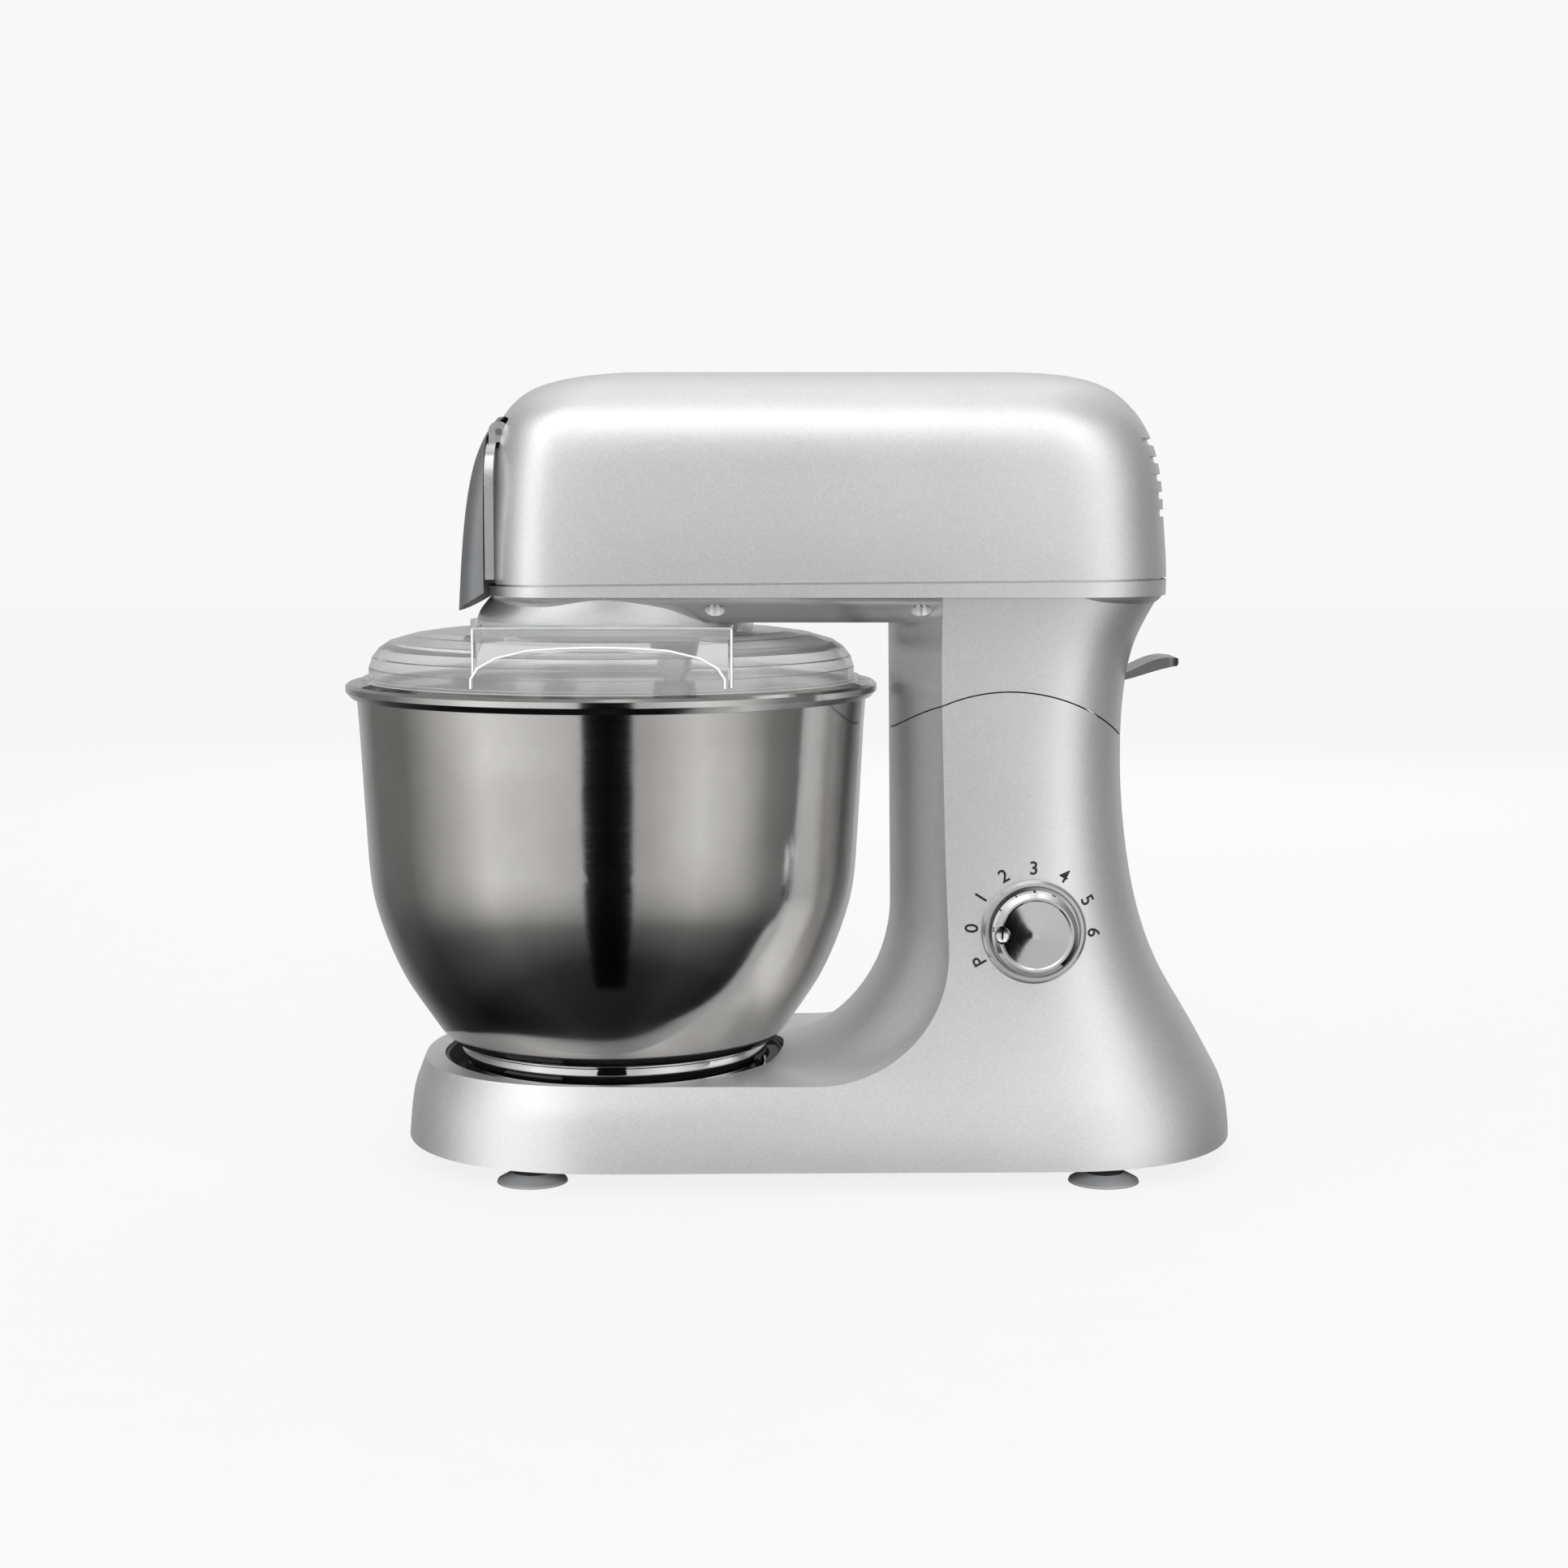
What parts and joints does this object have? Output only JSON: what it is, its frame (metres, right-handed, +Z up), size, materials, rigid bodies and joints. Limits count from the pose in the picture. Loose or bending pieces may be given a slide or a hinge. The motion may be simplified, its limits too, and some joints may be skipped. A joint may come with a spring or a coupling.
{
  "type": "stand mixer",
  "caption": "Tilt-head kitchen stand mixer with steel bowl, clear splash guard, flat beater, side speed knob, release lever and planetary gear drive.",
  "frame": {"origin": "centre of the footprint box at the height of the feet's lower faces", "axes": "+X from the bowl towards the column, -Y towards the speed knob's side, +Z up"},
  "size_m": [0.3848, 0.23, 0.3368],
  "materials": {
    "silver_lacquer": "silver metallic lacquer with a fine sparkle",
    "bowl_steel": "polished",
    "bright_chrome": "polished",
    "clear_plastic": "clear, glossy",
    "grey_cover": "satin grey",
    "trim_silver": "bright satin",
    "dark_plastic": "matte black",
    "grey_plastic": "matte dark grey",
    "foot_rubber": "matte grey",
    "black_rubber": "matte",
    "cast_aluminium": "as cast",
    "machined_steel": "machined",
    "lamination_steel": "dull laminated",
    "copper_winding": "enamelled copper",
    "bronze_bush": "turned",
    "gear_plastic": "natural nylon",
    "carbon": "matt",
    "board_green": "satin"
  },
  "bodies": {
    "base": {"base_housing": "silver_lacquer", "bottom_plate": "grey_plastic", "bottom_screws": "machined_steel", "foot_cups": "foot_rubber", "foot_stems": "black_rubber", "bowl_dock": "grey_plastic", "cord_gland": "black_rubber", "hinge_bracket": "cast_aluminium", "hinge_pin": "machined_steel", "hinge_washers": "gear_plastic", "latch_catch": "machined_steel", "safety_switch": "dark_plastic", "speed_switch": "dark_plastic", "control_board": "board_green", "board_parts": "dark_plastic", "terminal_block": "gear_plastic", "knob_bezel": "trim_silver"},
    "knob": {"knob_cap": "bright_chrome", "knob_shaft": "machined_steel"},
    "bowl": {"mixing_bowl": "bowl_steel", "bowl_foot_collar": "dark_plastic", "bowl_foot_ring": "bowl_steel"},
    "head": {"head_top_shell": "silver_lacquer", "head_lower_shell": "silver_lacquer", "head_screws": "machined_steel", "front_trim": "trim_silver", "port_ring": "dark_plastic", "cover_pin": "machined_steel", "splash_guard": "clear_plastic", "lever_pin": "machined_steel", "latch_spring": "machined_steel", "drive_frame": "cast_aluminium", "spindle_bush": "bronze_bush", "gearbox_bridge": "cast_aluminium", "ring_gear": "gear_plastic", "motor_stator": "lamination_steel", "field_coils": "copper_winding", "stator_bolts": "machined_steel", "motor_end_bracket": "cast_aluminium", "motor_bearings": "machined_steel", "brush_holders": "bronze_bush", "carbon_brushes": "carbon"},
    "cover": {"front_cover": "grey_cover"},
    "lever": {"latch_lever": "bright_chrome", "latch_pawl": "machined_steel"},
    "carrier": {"planet_carrier": "cast_aluminium", "main_spindle": "machined_steel", "spindle_gear": "gear_plastic"},
    "output": {"output_shaft": "machined_steel", "planet_pinion": "machined_steel", "drive_pin": "machined_steel", "flat_beater": "cast_aluminium"},
    "layshaft": {"layshaft": "machined_steel", "layshaft_pinion": "machined_steel", "worm_wheel": "bronze_bush"},
    "rotor": {"motor_shaft": "machined_steel", "armature": "lamination_steel", "commutator": "copper_winding", "cooling_fan": "dark_plastic"},
    "port": {"port_shaft": "machined_steel"}
  },
  "joints": [
    {"name": "head_tilt", "type": "hinge", "parent": "base", "child": "head", "pos_m": [0.09115, 0, 0.1335], "axis": [0, 1, 0], "range_deg": [0, 35]},
    {"name": "cover_hinge", "type": "hinge", "parent": "head", "child": "cover", "pos_m": [-0.1224, 0, 0.311], "axis": [0, 1, 0], "range_deg": [0, 80]},
    {"name": "release_lever", "type": "hinge", "parent": "head", "child": "lever", "pos_m": [0.1325, 0, 0.207], "axis": [0, 1, 0], "range_deg": [0, 12], "stiffness_Nm_per_rad": 0.6, "springref_deg": -11.46},
    {"name": "speed_knob", "type": "hinge", "parent": "base", "child": "knob", "pos_m": [0.10115, -0.07, 0.1045], "axis": [0, 1, 0], "range_deg": [-31, 182]},
    {"name": "bowl_twist", "type": "hinge", "parent": "base", "child": "bowl", "pos_m": [-0.07735, 0, 0.04], "axis": [0, 0, 1], "range_deg": [0, 20]},
    {"name": "planet_spin", "type": "hinge", "parent": "head", "child": "carrier", "pos_m": [-0.07735, 0, 0.23], "axis": [0, 0, 1], "continuous": true},
    {"name": "output_spin", "type": "hinge", "parent": "carrier", "child": "output", "pos_m": [-0.05035, 0, 0.2], "axis": [0, 0, 1], "continuous": true},
    {"name": "layshaft_spin", "type": "hinge", "parent": "head", "child": "layshaft", "pos_m": [-0.03782, -0.0215, 0.27], "axis": [0, 0, 1], "continuous": true},
    {"name": "motor_spin", "type": "hinge", "parent": "head", "child": "rotor", "pos_m": [0, 0, 0.285], "axis": [1, 0, 0], "continuous": true},
    {"name": "port_spin", "type": "hinge", "parent": "head", "child": "port", "pos_m": [-0.1, 0, 0.28], "axis": [1, 0, 0], "continuous": true}
  ],
  "couplings": [
    {"joint": "output_spin", "follows": "planet_spin", "ratio": -3},
    {"joint": "layshaft_spin", "follows": "planet_spin", "ratio": -4},
    {"joint": "motor_spin", "follows": "planet_spin", "ratio": -40},
    {"joint": "port_spin", "follows": "planet_spin", "ratio": -1}
  ]
}
